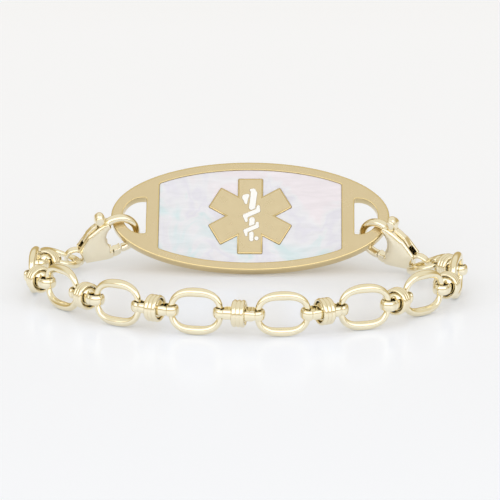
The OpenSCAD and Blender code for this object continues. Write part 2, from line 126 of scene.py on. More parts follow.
# Light: one soft sky. Each zone fades in over the height and the depth of the direction
sky = {"around": (0.89, 0.87, 0.79),
       "wall": {"tone": (0.58, 0.46, 0.235), "height": (0.72, 0.3), "depth": (-0.25, 0.3)},
       "screen": {"tone": (1.72, 1.72, 1.75), "height": (0.72, 0.68), "depth": (-0.35, -0.5)},
       "strip": {"tone": (0.6, 0.49, 0.28), "height": (0.17, 0.11), "depth": (-0.1, -0.3)}}


def setWorld():
    world = bpy.data.worlds.new("studio")
    world.use_nodes = True
    bpy.context.scene.world = world
    tree = world.node_tree
    tree.nodes.clear()
    way = split(tree, add(tree, "ShaderNodeTexCoord").outputs["Generated"])
    tone = sky["around"]
    # a darker wall low behind and at the sides, a bright screen low in front, and a dark strip
    # between the screen and the floor
    for zone in (sky["wall"], sky["screen"], sky["strip"]):
        high, deep = [remap(tree, way[axis], zone[span], interpolation_type="SMOOTHSTEP")
                      for axis, span in (("Z", "height"), ("Y", "depth"))]
        tone = blend(tree, calc(tree, "MULTIPLY", high, deep), tone, zone["tone"])
    light = add(tree, "ShaderNodeBackground", {"Color": tone, "Strength": 1.0})
    add(tree, "ShaderNodeOutputWorld", {"Surface": light.outputs[0]})


# Floor: pale paper with a weak glow, and a painted shadow inside the loop, sizes in metres
floorLook = {"reach": 2.0, "tone": (0.86, 0.88, 0.955), "grain": 900.0, "grainShade": 0.995,
             "roughness": 0.2, "gloss": 0.15, "glow": (0.122, 0.148, 0.195), "loop": (0.034, 0.025),
             "paintedShadowEdge": (0.55, 1.15), "glowInPaintedShadow": 0.45, "behind": (-0.03, 0.25), "glowFar": 0.32}


def setFloor():
    r = floorLook["reach"]
    mesh = bpy.data.meshes.new("floor")
    mesh.from_pydata([(-r, -r, 0), (r, -r, 0), (r, r, 0), (-r, r, 0)], [], [(0, 1, 2, 3)])
    floor = bpy.data.objects.new("floor", mesh)
    bpy.context.scene.collection.objects.link(floor)
    material, tree, shader = newFinish("floorPaper")
    grain = noise(tree, objectPlace(tree), floorLook["grain"])[0]
    darker = [v * floorLook["grainShade"] for v in floorLook["tone"]]
    tree.links.new(blend(tree, grain, floorLook["tone"], darker), shader.inputs["Base Color"])
    shader.inputs["Roughness"].default_value = floorLook["roughness"]
    shader.inputs["Specular IOR Level"].default_value = floorLook["gloss"]
    # painted shadow: the paper glows a little less inside the loop, a soft shade painted under the
    # bracelet, and it glows more far behind
    spot = split(tree, objectPlace(tree))
    across, deep = [calc(tree, "POWER", calc(tree, "DIVIDE", spot[i], floorLook["loop"][i]), 2.0)
                    for i in (0, 1)]
    outside = remap(tree, calc(tree, "ADD", across, deep), floorLook["paintedShadowEdge"],
                    (floorLook["glowInPaintedShadow"], 1.0), interpolation_type="SMOOTHSTEP")
    behind = remap(tree, spot[1], floorLook["behind"], (0.0, floorLook["glowFar"]))
    shader.inputs["Emission Color"].default_value = (*floorLook["glow"], 1)
    tree.links.new(calc(tree, "ADD", outside, behind), shader.inputs["Emission Strength"])
    mesh.materials.append(material)


# Gold: two close tones in soft patches, rubbed places, and fine lines left by polishing. Eased edges are
# smoother, and their darker tone is a painted dark reflection
metals = {
    "plaqueGold": {"tone": (0.765, 0.645, 0.425), "shade": (0.745, 0.615, 0.39), "roughness": 0.24,
                   "paintedEdgeTone": (0.72, 0.585, 0.32), "edgeRoughness": 0.16, "rub": 0.04,
                   "lines": (300, 9000, 9000), "depth": 0.004},
    "starGold": {"tone": (0.76, 0.645, 0.43), "shade": (0.74, 0.62, 0.40), "roughness": 0.3,
                 "paintedEdgeTone": (0.68, 0.535, 0.28), "edgeRoughness": 0.1, "rub": 0.04,
                 "lines": (400, 8000, 8000), "depth": 0.004},
    "chainGold": {"tone": (0.91, 0.835, 0.64), "shade": (0.875, 0.785, 0.55), "roughness": 0.05,
                  "paintedEdgeTone": (0.91, 0.835, 0.64), "edgeRoughness": 0.07, "rub": 0.02,
                  "lines": (2500, 2500, 2500), "depth": 0.006},
    "ringGold": {"tone": (0.90, 0.82, 0.62), "shade": (0.87, 0.775, 0.55), "roughness": 0.12,
                 "paintedEdgeTone": (0.88, 0.79, 0.575), "edgeRoughness": 0.12, "rub": 0.03,
                 "lines": (3000, 3000, 3000), "depth": 0.006},
    "claspGold": {"tone": (0.92, 0.85, 0.665), "shade": (0.90, 0.81, 0.60), "roughness": 0.14,
                  "paintedEdgeTone": (0.92, 0.85, 0.665), "edgeRoughness": 0.14, "rub": 0.03,
                  "lines": (2500, 2500, 2500), "depth": 0.006},
}
metalGrain = {"patches": 320.0, "patchDetail": 3.0, "rubbed": 900.0, "contrast": (0.3, 0.7),
              "lineRise": 0.0002}


def goldFinish(name):
    look = metals[name]
    material, tree, shader = newFinish(name)
    shader.inputs["Metallic"].default_value = 1.0
    patches = noise(tree, objectPlace(tree), metalGrain["patches"], metalGrain["patchDetail"])[0]
    tone = blend(tree, patches, look["tone"], look["shade"])
    rubbed = noise(tree, objectPlace(tree), metalGrain["rubbed"])[0]
    rough = remap(tree, rubbed, metalGrain["contrast"],
                  (look["roughness"] - look["rub"], look["roughness"] + look["rub"]))
    # eased edges are marked by an attribute: they are smoother, and their darker tone is a painted dark
    # reflection along the edges
    polishAndPaintedReflection = add(tree, "ShaderNodeAttribute", attribute_name="polishAndPaintedReflection").outputs["Fac"]
    tree.links.new(blend(tree, polishAndPaintedReflection, tone, look["paintedEdgeTone"]), shader.inputs["Base Color"])
    tree.links.new(mix(tree, polishAndPaintedReflection, rough, look["edgeRoughness"]), shader.inputs["Roughness"])
    lines = noise(tree, objectPlace(tree, look["lines"]), 1.0)[0]
    bump = add(tree, "ShaderNodeBump", {"Height": lines, "Strength": look["depth"],
               "Distance": metalGrain["lineRise"]})
    tree.links.new(bump.outputs[0], shader.inputs["Normal"])
    return material


# Mother-of-pearl: greener low on the left and pinker high on the right, with slanting growth lines
pearl = {"base": (0.765, 0.77, 0.82), "pink": (0.79, 0.745, 0.80), "lilac": (0.72, 0.715, 0.80),
         "green": (0.63, 0.745, 0.785),
         "bands": [(0.36, "green"), (0.45, "base"), (0.51, "lilac"), (0.57, "base"), (0.66, "pink")],
         "drift": 90.0, "driftShare": 0.006, "clouds": 110.0, "cloudDetail": 3.0, "cloudTwist": 1.2,
         "across": 7.0, "upward": 14.0, "middleHeight": 0.009,
         "streaks": 900.0, "streakDetail": 5.0, "streakTwist": 1.0, "streakStretch": (0.22, 1, 1),
         "streakTurn": (0, 0.25, 0), "contrast": (0.3, 0.7), "sheen": (0.94, 1.04),
         "roughness": 0.3, "coat": 0.6, "coatRoughness": 0.05}


def pearlFinish():
    material, tree, shader = newFinish("motherOfPearl")
    drift = noise(tree, objectPlace(tree), pearl["drift"])["Color"]
    bent = add(tree, "ShaderNodeMix", {0: pearl["driftShare"], 4: objectPlace(tree), 5: drift},
               data_type="VECTOR").outputs[1]
    clouds = noise(tree, bent, pearl["clouds"], pearl["cloudDetail"], pearl["cloudTwist"])[0]
    spot = split(tree, objectPlace(tree))
    lift = calc(tree, "ADD", calc(tree, "MULTIPLY", spot[0], pearl["across"]),
                calc(tree, "MULTIPLY", calc(tree, "SUBTRACT", spot[2], pearl["middleHeight"]),
                     pearl["upward"]))
    ramp = add(tree, "ShaderNodeValToRGB", {"Fac": calc(tree, "ADD", clouds, lift)})
    stops = ramp.color_ramp.elements
    while len(stops) < len(pearl["bands"]):
        stops.new(0.5)
    for stop, (where, tint) in zip(stops, pearl["bands"]):
        stop.position = where
        stop.color = (*pearl[tint], 1)
    # growth lines fade in and out
    streaks = noise(tree, objectPlace(tree, pearl["streakStretch"], pearl["streakTurn"]),
                    pearl["streaks"], pearl["streakDetail"], pearl["streakTwist"])[0]
    sheen = remap(tree, streaks, pearl["contrast"], pearl["sheen"])
    tint = blend(tree, 1.0, ramp.outputs[0], sheen, blend_type="MULTIPLY")
    tree.links.new(tint, shader.inputs["Base Color"])
    shader.inputs["Roughness"].default_value = pearl["roughness"]
    shader.inputs["Coat Weight"].default_value = pearl["coat"]
    shader.inputs["Coat Roughness"].default_value = pearl["coatRoughness"]
    return material


# Enamel: near white and glossy. The voxel is in mm
enamel = {"tone": (0.93, 0.93, 0.92), "clouds": 700.0, "cloudShade": 0.97, "roughness": 0.12,
          "coat": 0.5, "voxel": 0.03, "smoothing": 4}


def enamelFinish():
    material, tree, shader = newFinish("whiteEnamel")
    clouds = noise(tree, objectPlace(tree), enamel["clouds"])[0]
    duller = [v * enamel["cloudShade"] for v in enamel["tone"]]
    tree.links.new(blend(tree, clouds, enamel["tone"], duller), shader.inputs["Base Color"])
    shader.inputs["Roughness"].default_value = enamel["roughness"]
    shader.inputs["Coat Weight"].default_value = enamel["coat"]
    return material


finishes = {name: goldFinish(name) for name in metals}
finishes["motherOfPearl"] = pearlFinish()
finishes["whiteEnamel"] = enamelFinish()


def addPiece(name, mesh, body, replaced):
    piece = bpy.data.objects.new(name, mesh)
    bpy.context.scene.collection.objects.link(piece)
    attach(piece, body)
    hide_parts(*replaced)


# Flat pieces are made from outlines: walls with eased edges, and the faces between them.
# Their sizes are in mm, and turns sharper than the cosine count as corners
easing = {"edgeSteps": 6, "landing": 0.06, "cornerSteps": 7, "sharpCosine": 0.94, "clear": 1.02}
mergeReach = {"flat": 1e-8, "solid": 1e-7}        # in metres


def offsetBy(outline, distance):
    p = np.array(outline)
    after = np.roll(p, -1, 0)
    ahead = after - p
    if (p[:, 0] * after[:, 1] - p[:, 1] * after[:, 0]).sum() < 0:
        distance = -distance
    ahead /= np.linalg.norm(ahead, axis=1)[:, None]
    behind = np.roll(ahead, 1, 0)
    out = np.stack([ahead[:, 1] + behind[:, 1], -ahead[:, 0] - behind[:, 0]], 1)
    return p + distance * out / (1 + (ahead * behind).sum(1))[:, None]


# Steps from a wall onto a flat face, as distance inside the outline and height
def easedEdge(wallZ, faceZ, ease):
    side = 1 if faceZ > wallZ else -1
    steps = [(ease * (1 - math.cos(t)), faceZ - side * ease * (1 - math.sin(t)))
             for t in np.linspace(0, math.pi / 2, easing["edgeSteps"])]
    return steps + [(ease + easing["landing"], faceZ)]


# Rings of points, one for each step, joined by faces. Where the piece lies outside the outline,
# inside is -1
def wall(mesh, outline, steps, place, inside=1):
    rings = []
    for distance, z in steps:
        flat = offsetBy(outline, -inside * distance)
        rings.append(([mesh.verts.new(place @ Vector((x, y, z))) for x, y in flat], flat))
    for (low, _), (high, _) in zip(rings, rings[1:]):
        for i in range(len(low)):
            k = (i + 1) % len(low)
            mesh.faces.new((low[i], low[k], high[k], high[i]))
    return rings


# The flat face between rings, marked by a material index of 1 until closeMesh
def face(mesh, rings):
    verts = [v for ring, _ in rings for v in ring]
    flat = [[Vector((x, y, 0)) for x, y in points] for _, points in rings]
    for corners in tessellate_polygon(flat):
        mesh.faces.new([verts[i] for i in corners]).material_index = 1


def closeMesh(mesh, name, finish):
    bmesh.ops.remove_doubles(mesh, verts=mesh.verts, dist=mergeReach["flat"])
    bmesh.ops.recalc_face_normals(mesh, faces=mesh.faces)
    # the eased faces are marked, for a smoother finish and a painted dark reflection along the edges
    polishAndPaintedReflection = mesh.faces.layers.float.new("polishAndPaintedReflection")
    for f in mesh.faces:
        f.smooth = f.material_index == 0
        f[polishAndPaintedReflection] = float(f.smooth)
        f.material_index = 0
    data = bpy.data.meshes.new(name)
    mesh.to_mesh(data)
    mesh.free()
    data.materials.append(finish)
    return data


# A corner drawn as a curve from a point behind it to a point ahead of it
def roundCorner(back, corner, fore):
    return [tuple((1 - t) ** 2 * back + 2 * t * (1 - t) * corner + t * t * fore)
            for t in np.linspace(0, 1, easing["cornerSteps"])]


# Rounds the corners of an outline that turn sharply
def easeCorners(points, reach):
    p = np.array(points)
    ahead = np.roll(p, -1, 0) - p
    ahead /= np.linalg.norm(ahead, axis=1)[:, None]
    sharp = [i for i in range(len(p)) if (ahead[i] * ahead[i - 1]).sum() < easing["sharpCosine"]]
    out = []
    for i in range(len(p)):
        if i in sharp:
            out += roundCorner(p[i] - reach * ahead[i - 1], p[i], p[i] + reach * ahead[i])
        elif all(np.linalg.norm(p[i] - p[j]) > reach * easing["clear"] for j in sharp):
            out.append(tuple(p[i]))
    return out


# Plaque: an oval plate with a recess for the inlay and a slot with a flat side at each end
plaque = {"length": 44.5, "height": 19, "thick": 1.8, "lean": 37.4, "turn": -1.1,
          "border": 1.38, "rim": 1.85, "slotLength": 3.75, "slotHeight": 6.2, "bar": 2.05,
          "recess": 0.7, "edge": 0.26, "inner": 0.14, "slotCorner": 0.3,
          "ovalSteps": 360, "slotArcSteps": 61, "slotFlatSteps": 13}
plaqueSlotEnd = plaque["length"] / 2 - plaque["rim"]
plaqueSlotFlat = plaqueSlotEnd - plaque["slotLength"]

# From the plaque's own axes, with z = 0 at its back, to the frame
low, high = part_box("plaque")
plaquePlace = (Matrix.Translation((low + high) / 2) @ Matrix.Rotation(math.radians(plaque["turn"]), 4, "Z")
               @ Matrix.Rotation(math.radians(90 - plaque["lean"]), 4, "X")
               @ Matrix.Scale(mm, 4) @ Matrix.Translation((0, 0, -plaque["thick"] / 2)))


def arc(halfLength, halfHeight, turns):
    return [(halfLength * math.cos(t), halfHeight * math.sin(t)) for t in turns]


def slotOutline(side):
    r = plaque["slotHeight"] / 2
    turns = np.linspace(-math.pi / 2, math.pi / 2, plaque["slotArcSteps"])
    bow = [(plaqueSlotEnd - r + x, y) for x, y in arc(r, r, turns)]
    flat = [(plaqueSlotFlat, y) for y in np.linspace(r, -r, plaque["slotFlatSteps"])]
    return [(side * x, y) for x, y in easeCorners(bow + flat, plaque["slotCorner"])]


def makePlaque():
    mesh = bmesh.new()
    top, floorZ = plaque["thick"], plaque["thick"] - plaque["recess"]
    edge, inner = plaque["edge"], plaque["inner"]
    turns = np.linspace(0, 2 * math.pi, plaque["ovalSteps"], endpoint=False)
    fronts, backs = [], []
    for outline, inside, ease in [(arc(plaque["length"] / 2, plaque["height"] / 2, turns), 1, edge),
                                  (slotOutline(1), -1, inner), (slotOutline(-1), -1, inner)]:
        steps = easedEdge(top, 0, ease)[::-1] + easedEdge(0, top, ease)
        rings = wall(mesh, outline, steps, plaquePlace, inside)
        backs.append(rings[0])
        fronts.append(rings[-1])
    rings = wall(mesh, inlayOutline(0), [(0, floorZ)] + easedEdge(0, top, inner), plaquePlace, -1)
    fronts.append(rings[-1])
    face(mesh, fronts)
    face(mesh, backs)
    face(mesh, rings[:1])
    data = closeMesh(mesh, "plaque_plate", finishes["plaqueGold"])
    addPiece("plaque_plate", data, "bracelet", ["plaque"])


# Inlay and star: both are set on the recess's floor with the same gap
inlay = {"gap": 0.03, "thick": 0.5, "edge": 0.04, "corner": 0.25, "arcSteps": 121}
inlayBase = plaque["thick"] - plaque["recess"] + inlay["gap"]
star = {"length": 13.2, "arm": 4.0, "corner": 0.3, "thick": 0.68, "edge": 0.2,
        # each pocket's steps, as distance outside its outline and height over the star's top
        "pocket": [(0, -0.28), (0, -0.02), (0.005, -0.005), (0.02, 0)],
        # how level the solid's top is, and how near its points are merged
        "level": 2e-3, "weld": 1e-4}


def inlayOutline(gap):
    a = plaqueSlotEnd - gap
    b = plaque["height"] / 2 - plaque["border"] - gap
    corner = math.acos((plaqueSlotFlat - plaque["bar"] - gap) / a)
    upper = arc(a, b, np.linspace(corner, math.pi - corner, inlay["arcSteps"]))
    lower = arc(a, b, np.linspace(math.pi + corner, 2 * math.pi - corner, inlay["arcSteps"]))
    return easeCorners(upper + lower, inlay["corner"])


# Two corners at the end of each of six arms, and the notch after it, where two arms' sides meet
def starOutline(gap):
    half, wide = star["length"] / 2 + gap, star["arm"] / 2 + gap
    points = []
    for k in range(6):
        a = math.radians(30 + 60 * k)
        for x, y in [(half, -wide), (half, wide)]:
            points.append((x * math.cos(a) - y * math.sin(a), x * math.sin(a) + y * math.cos(a)))
        notch = a + math.radians(30)
        points.append((2 * wide * math.cos(notch), 2 * wide * math.sin(notch)))
    return points


# Only the arms' own corners are rounded, and the notches between them stay sharp
def armsOutline(gap):
    points = [np.array(p) for p in starOutline(gap)]
    out = []
    for i, p in enumerate(points):
        if i % 3 == 2:
            out.append(tuple(p))
            continue
        back, fore = [p + star["corner"] * (q - p) / np.linalg.norm(q - p)
                      for q in (points[i - 1], points[(i + 1) % len(points)])]
        out += roundCorner(back, p, fore)
    return out


# The outlines of a flat solid's top face, in the plaque's axes
def topOutlines(node, height):
    mesh = bmesh.new()
    mesh.from_mesh(nodes[node].data)
    mesh.transform(plaquePlace.inverted())
    bmesh.ops.remove_doubles(mesh, verts=mesh.verts, dist=star["weld"])
    flat = {f for f in mesh.faces if all(abs(v.co.z - height) < star["level"] for v in f.verts)}
    rim = [e for e in mesh.edges if sum(f in flat for f in e.link_faces) == 1]
    nextOnes = {}
    for e in rim:
        a, b = e.verts
        nextOnes.setdefault(a, []).append(b)
        nextOnes.setdefault(b, []).append(a)
    loops = []
    while nextOnes:
        start = here = next(iter(nextOnes))
        before, loop = None, []
        while True:
            loop.append((here.co.x, here.co.y))
            ways = nextOnes.pop(here)
            step = ways[0] if ways[0] is not before else ways[1]
            before, here = here, step
            if here is start:
                break
        loops.append(loop)
    mesh.free()
    return loops


def makeInlay():
    mesh = bmesh.new()
    steps = [(0, inlayBase)] + easedEdge(inlayBase, inlayBase + inlay["thick"], inlay["edge"])
    rings = [wall(mesh, inlayOutline(inlay["gap"]), steps, plaquePlace),
             wall(mesh, armsOutline(inlay["gap"]), steps, plaquePlace, -1)]
    face(mesh, [r[-1] for r in rings])
    face(mesh, [r[0] for r in rings])
    data = closeMesh(mesh, "pearl_sheet", finishes["motherOfPearl"])
    addPiece("pearl_sheet", data, "bracelet", ["pearl_inlay"])


def makeStar():
    mesh = bmesh.new()
    top = inlayBase + star["thick"]
    rings = wall(mesh, armsOutline(0), [(0, inlayBase)] + easedEdge(inlayBase, top, star["edge"]),
                 plaquePlace)
    fronts = [rings[-1]]
    loops = topOutlines("medical_star", top)
    outer = max(loops, key=lambda loop: max(abs(x) for x, _ in loop))
    steps = [(distance, top + rise) for distance, rise in star["pocket"]]
    for loop in loops:
        if loop is not outer:
            pocket = wall(mesh, loop, steps, plaquePlace, -1)
            fronts.append(pocket[-1])
            face(mesh, pocket[:1])
    face(mesh, fronts)
    face(mesh, rings[:1])
    data = closeMesh(mesh, "star_plate", finishes["starGold"])
    addPiece("star_plate", data, "bracelet", ["medical_star"])


# A copy of a CAD solid with its loose triangles merged
def mergedCopy(node):
    mesh = bmesh.new()
    mesh.from_mesh(nodes[node].data)
    bmesh.ops.remove_doubles(mesh, verts=mesh.verts, dist=mergeReach["solid"])
    return mesh


# A mesh remeshed fine and smoothed
def remeshed(mesh, name, voxel, smoothing):
    data = bpy.data.meshes.new(name)
    mesh.to_mesh(data)
    mesh.free()
    maker = bpy.data.objects.new("maker", data)
    bpy.context.scene.collection.objects.link(maker)
    remesh = maker.modifiers.new("remesh", "REMESH")
    remesh.mode = "VOXEL"
    remesh.voxel_size = voxel * mm
    remesh.use_smooth_shade = True
    smooth = maker.modifiers.new("smooth", "SMOOTH")
    smooth.factor = 0.5
    smooth.iterations = smoothing
    result = bpy.data.meshes.new_from_object(maker.evaluated_get(bpy.context.evaluated_depsgraph_get()))
    bpy.data.objects.remove(maker)
    bpy.data.meshes.remove(data)
    result.name = name
    return result


def dress(data, finish):
    data.materials.clear()
    data.materials.append(finish)
    print(data.name, "faces", len(data.polygons))


def makeEnamel():
    for part in ("serpent", "staff"):
        name = part + "_fill"
        data = remeshed(mergedCopy("enamel_" + part), name, enamel["voxel"], enamel["smoothing"])
        dress(data, finishes["whiteEnamel"])
        addPiece(name, data, "bracelet", ["enamel_" + part])


# Clasps, in mm. Each has its own axes: tail ring's centre at the origin, hook's centre along x,
# depth along z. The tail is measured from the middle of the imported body's box, and a way of -1
# mirrors the clasp
clasp = {"reach": 8.05, "hookRadius": 3.42, "hookWire": 1.17, "hookDrop": 0.35, "tailBore": 2.3,
         "tailWall": 0.58, "halfThick": 1.5, "rimHalf": 0.88, "coreHalf": 0.6, "rounding": 1.9,
         "blend": 0.15, "voxel": 0.07, "firstSmoothing": 2, "smoothing": 10,
         # the knob's half sizes, its place as shares of reach and hook radius, and its turn
         "knob": (1.3, 0.88, 1.1), "knobAt": (0.84, 1.115), "knobDrop": 0.1, "knobTurn": 60,
         "knobSegments": 32, "knobRings": 20}
claspPlaces = {
    "left": {"tail": (-4.3313, -0.2842, -2.7034), "turn": 14.6, "lean": 19.0, "rise": 32.9005, "way": 1},
    "right": {"tail": (3.929, -2.1923, -2.4603), "turn": 34.3, "lean": 14.3, "rise": 27.6695, "way": -1},
}
# The body's outline, as shares of reach and hook radius
claspOutline = [(0.14, -0.44), (0.273, -0.585), (0.517, -0.857), (0.617, -0.93), (0.733, -1.006),
                (0.733, -0.3), (0.97, 0.5), (0.95, 0.8), (0.87, 0.85), (0.745, 0.85), (0.472, 0.745),
                (0.15, 0.36)]


def claspAxes(side):
    place = claspPlaces[side]
    low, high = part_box("clasp_body_" + side)
    tail = (low + high) / 2 + Vector(place["tail"]) * mm
    axes = Matrix.Translation(tail) @ Matrix.Diagonal((place["way"], 1, 1, 1))
    for angle, axis in ((place["turn"], "Z"), (place["lean"], "X"), (-place["rise"], "Y"), (90, "X")):
        axes = axes @ Matrix.Rotation(math.radians(angle), 4, axis)
    return axes @ Matrix.Scale(mm, 4)


# How far points lie inside an outline, and outside it as a negative distance
def insideBy(points, outline):
    nearest, inside = np.full(len(points), np.inf), np.zeros(len(points), bool)
    for a, b in zip(outline, np.roll(outline, -1, 0)):
        along = b - a
        share = np.clip(((points - a) @ along) / (along @ along), 0, 1)
        nearest = np.minimum(nearest, np.linalg.norm(points - a - share[:, None] * along, axis=1))
        crosses = (a[1] > points[:, 1]) != (b[1] > points[:, 1])
        with np.errstate(divide="ignore", invalid="ignore"):
            inside ^= crosses & (points[:, 0] < a[0] + (points[:, 1] - a[1]) / (b[1] - a[1]) * along[0])
    return np.where(inside, nearest, -nearest)


# The body is thickest along its middle, and rounds off toward its outline
def roundBody(p):
    body = insideBy(p[:, :2], np.array(claspOutline) * (clasp["reach"], clasp["hookRadius"]))
    fromHook = np.hypot(p[:, 0] - clasp["reach"], p[:, 1] + clasp["hookDrop"])
    innerHook = clasp["hookRadius"] - clasp["hookWire"]
    body = np.minimum(body, fromHook - innerHook)
    hook = np.minimum(clasp["hookRadius"] - fromHook, fromHook - innerHook)
    fromTail = np.hypot(p[:, 0], p[:, 1])
    bore = clasp["tailBore"] / 2
    tail = np.minimum(bore + clasp["tailWall"] - fromTail, fromTail - bore)
    smooth = clasp["blend"]
    depth = np.clip(smooth * np.log(sum(np.exp(d / smooth) for d in (body, hook, tail))),
                    0, clasp["rounding"])
    share = 1 - depth / clasp["rounding"]
    limit = clasp["rimHalf"] + (clasp["halfThick"] - clasp["rimHalf"]) * np.sqrt(1 - share * share)
    thick = np.abs(p[:, 2])
    limit = np.maximum(limit, np.minimum(thick, clasp["coreHalf"]))
    p[:, 2] = np.sign(p[:, 2]) * np.minimum(thick, limit)
    return p


# The lever's own shape is kept, and only its knob is made fuller
def keepShape(p):
    return p


def knobShape(place):
    x, y = clasp["knobAt"]
    at = (x * clasp["reach"], y * clasp["hookRadius"] - clasp["knobDrop"], 0)
    return (place @ Matrix.Translation(at) @ Matrix.Rotation(math.radians(clasp["knobTurn"]), 4, "Z")
            @ Matrix.Diagonal((*clasp["knob"], 1)))


def claspPart(node, name, place, reshape, knob=None):
    mesh = mergedCopy(node)
    if knob:
        bmesh.ops.create_uvsphere(mesh, u_segments=clasp["knobSegments"], v_segments=clasp["knobRings"],
                                  radius=1.0, matrix=knob)
    bmesh.ops.triangulate(mesh, faces=mesh.faces)
    data = remeshed(mesh, name, clasp["voxel"], clasp["firstSmoothing"])
    mesh = bmesh.new()
    mesh.from_mesh(data)
    bpy.data.meshes.remove(data)
    points = np.array([v.co for v in mesh.verts])
    inward, outward = np.array(place.inverted()), np.array(place)
    points = reshape(points @ inward[:3, :3].T + inward[:3, 3])
    for v, co in zip(mesh.verts, points @ outward[:3, :3].T + outward[:3, 3]):
        v.co = co
    data = remeshed(mesh, name, clasp["voxel"], clasp["smoothing"])
    dress(data, finishes["claspGold"])
    return data


def makeClasps():
    for side in claspPlaces:
        place = claspAxes(side)
        cast = claspPart("clasp_body_" + side, "clasp_cast_" + side, place, roundBody)
        addPiece("clasp_cast_" + side, cast, "bracelet", ["clasp_body_" + side])
        catch = claspPart("clasp_lever_" + side, "clasp_catch_" + side, place, keepShape, knobShape(place))
        addPiece("clasp_catch_" + side, catch, "lever_" + side, ["clasp_lever_" + side])


# Geometry Nodes: a tree starts with its named sizes, and ends in realized, finished geometry
def startTree(name, sizes):
    tree = bpy.data.node_groups.new(name, "GeometryNodeTree")
    tree.interface.new_socket("Geometry", in_out="OUTPUT", socket_type="NodeSocketGeometry")
    tree.interface.new_socket("Places", in_out="INPUT", socket_type="NodeSocketGeometry")
    for label, value in sizes.items():
        kind = "NodeSocketInt" if isinstance(value, int) else "NodeSocketFloat"
        tree.interface.new_socket(label, in_out="INPUT", socket_type=kind).default_value = value
    return tree, add(tree, "NodeGroupInput").outputs


def spread(tree, places, shape):
    turn = add(tree, "GeometryNodeInputNamedAttribute", {"Name": "turn"}, data_type="QUATERNION")
    smooth = add(tree, "GeometryNodeSetShadeSmooth", {"Geometry": shape})
    spots = add(tree, "GeometryNodeInstanceOnPoints", {"Points": places, "Instance": smooth.outputs[0],
                "Rotation": turn.outputs["Attribute"]})
    return add(tree, "GeometryNodeRealizeInstances", {"Geometry": spots.outputs[0]}).outputs[0]


def endTree(tree, shape, finish):
    done = add(tree, "GeometryNodeSetMaterial", {"Geometry": shape, "Material": finish})
    add(tree, "NodeGroupOutput", {0: done.outputs[0]})


def circle(tree, steps, radius=1.0):
    feeds = {"Resolution": steps, "Radius": radius}
    return add(tree, "GeometryNodeCurvePrimitiveCircle", feeds).outputs["Curve"]


def position(tree):
    return add(tree, "GeometryNodeInputPosition").outputs[0]


def moveTo(tree, shape, place):
    return add(tree, "GeometryNodeSetPosition", {"Geometry": shape, "Position": place}).outputs[0]


def sweep(tree, line, profile, **feeds):
    feeds = {"Curve": line, "Profile Curve": profile, **feeds}
    return add(tree, "GeometryNodeCurveToMesh", feeds).outputs[0]


def upright(tree, line):
    return add(tree, "GeometryNodeSetCurveNormal", {"Curve": line}, mode="Z_UP").outputs[0]


def scaled(tree, vector, scale):
    return add(tree, "ShaderNodeVectorMath", {0: vector, "Scale": scale}, operation="SCALE").outputs[0]


# How far a direction is drawn out, to lie on a rounded square instead of a circle
def squareReach(tree, values, square):
    shares = [calc(tree, "POWER", value, square) for value in values]
    return calc(tree, "POWER", calc(tree, "ADD", *shares), calc(tree, "DIVIDE", -1.0, square))


# Each spot has a place, axes, and for an eye the length that it is drawn out by
def grow(name, tree, sizes, spots):
    points = bpy.data.meshes.new(name)
    points.from_pydata([spot["at"] for spot in spots], [], [])
    for label, kind in (("turn", "QUATERNION"), ("along", "FLOAT_VECTOR"), ("middle", "FLOAT_VECTOR"),
                        ("stretch", "FLOAT")):
        points.attributes.new(label, kind, "POINT")
    for i, spot in enumerate(spots):
        points.attributes["turn"].data[i].value = spot["axes"].to_quaternion()
        points.attributes["along"].data[i].vector = spot["axes"].col[0]
        points.attributes["middle"].data[i].vector = spot["at"]
        points.attributes["stretch"].data[i].value = spot.get("stretch", 0.0)
    maker = bpy.data.objects.new("maker", points)
    bpy.context.scene.collection.objects.link(maker)
    modifier = maker.modifiers.new("grow", "NODES")
    modifier.node_group = tree
    for item in tree.interface.items_tree:
        if item.name in sizes:
            modifier[item.identifier] = sizes[item.name]
    result = bpy.data.meshes.new_from_object(maker.evaluated_get(bpy.context.evaluated_depsgraph_get()))
    maker.modifiers.remove(modifier)
    bpy.data.objects.remove(maker)
    bpy.data.meshes.remove(points)
    result.name = name
    print(name, "faces", len(result.polygons))
    return result


# The chain: each link's axes are read from its solid, each connector's from its two links
links = {"Half Length": 3.65 * mm, "Half Height": 2.87 * mm, "Squareness": 2.6,
         "End Radius": 0.45 * mm, "Top Radius": 0.69 * mm, "Steps": 128, "Sides": 24}
linkNodes = ["link_%d" % k for k in range(1, 11)]
connectorNodes = ["connector_loop_%d" % k for k in range(1, 10)]
ribbedNodes = ["ribbed_ring_%d" % k for k in range(1, 10)]


def axesOf(along, up):
    up = (up - along * along.dot(up)).normalized()
    return Matrix((along, up.cross(along), up)).transposed()


def readLinks():
    spots = []
    for node in linkNodes:
        points = np.array([v.co for v in nodes[node].data.vertices])
        points = np.unique(points.round(8), axis=0)
        centre = points.mean(0)
        _, axes = np.linalg.eigh((points - centre).T @ (points - centre))
        along, up = Vector(axes[:, 2]), Vector(axes[:, 1])
        if up.z < 0:
            up = -up
        spots.append({"at": Vector(centre), "along": along, "up": up})
    # every link points on along the chain, and the last one away from the link before it
    ahead = [after["at"] - before["at"] for before, after in zip(spots, spots[1:])]
    for spot, onward in zip(spots, ahead + ahead[-1:]):
        if spot["along"].dot(onward) < 0:
            spot["along"] = -spot["along"]
        spot["axes"] = axesOf(spot["along"], spot["up"])
    return spots


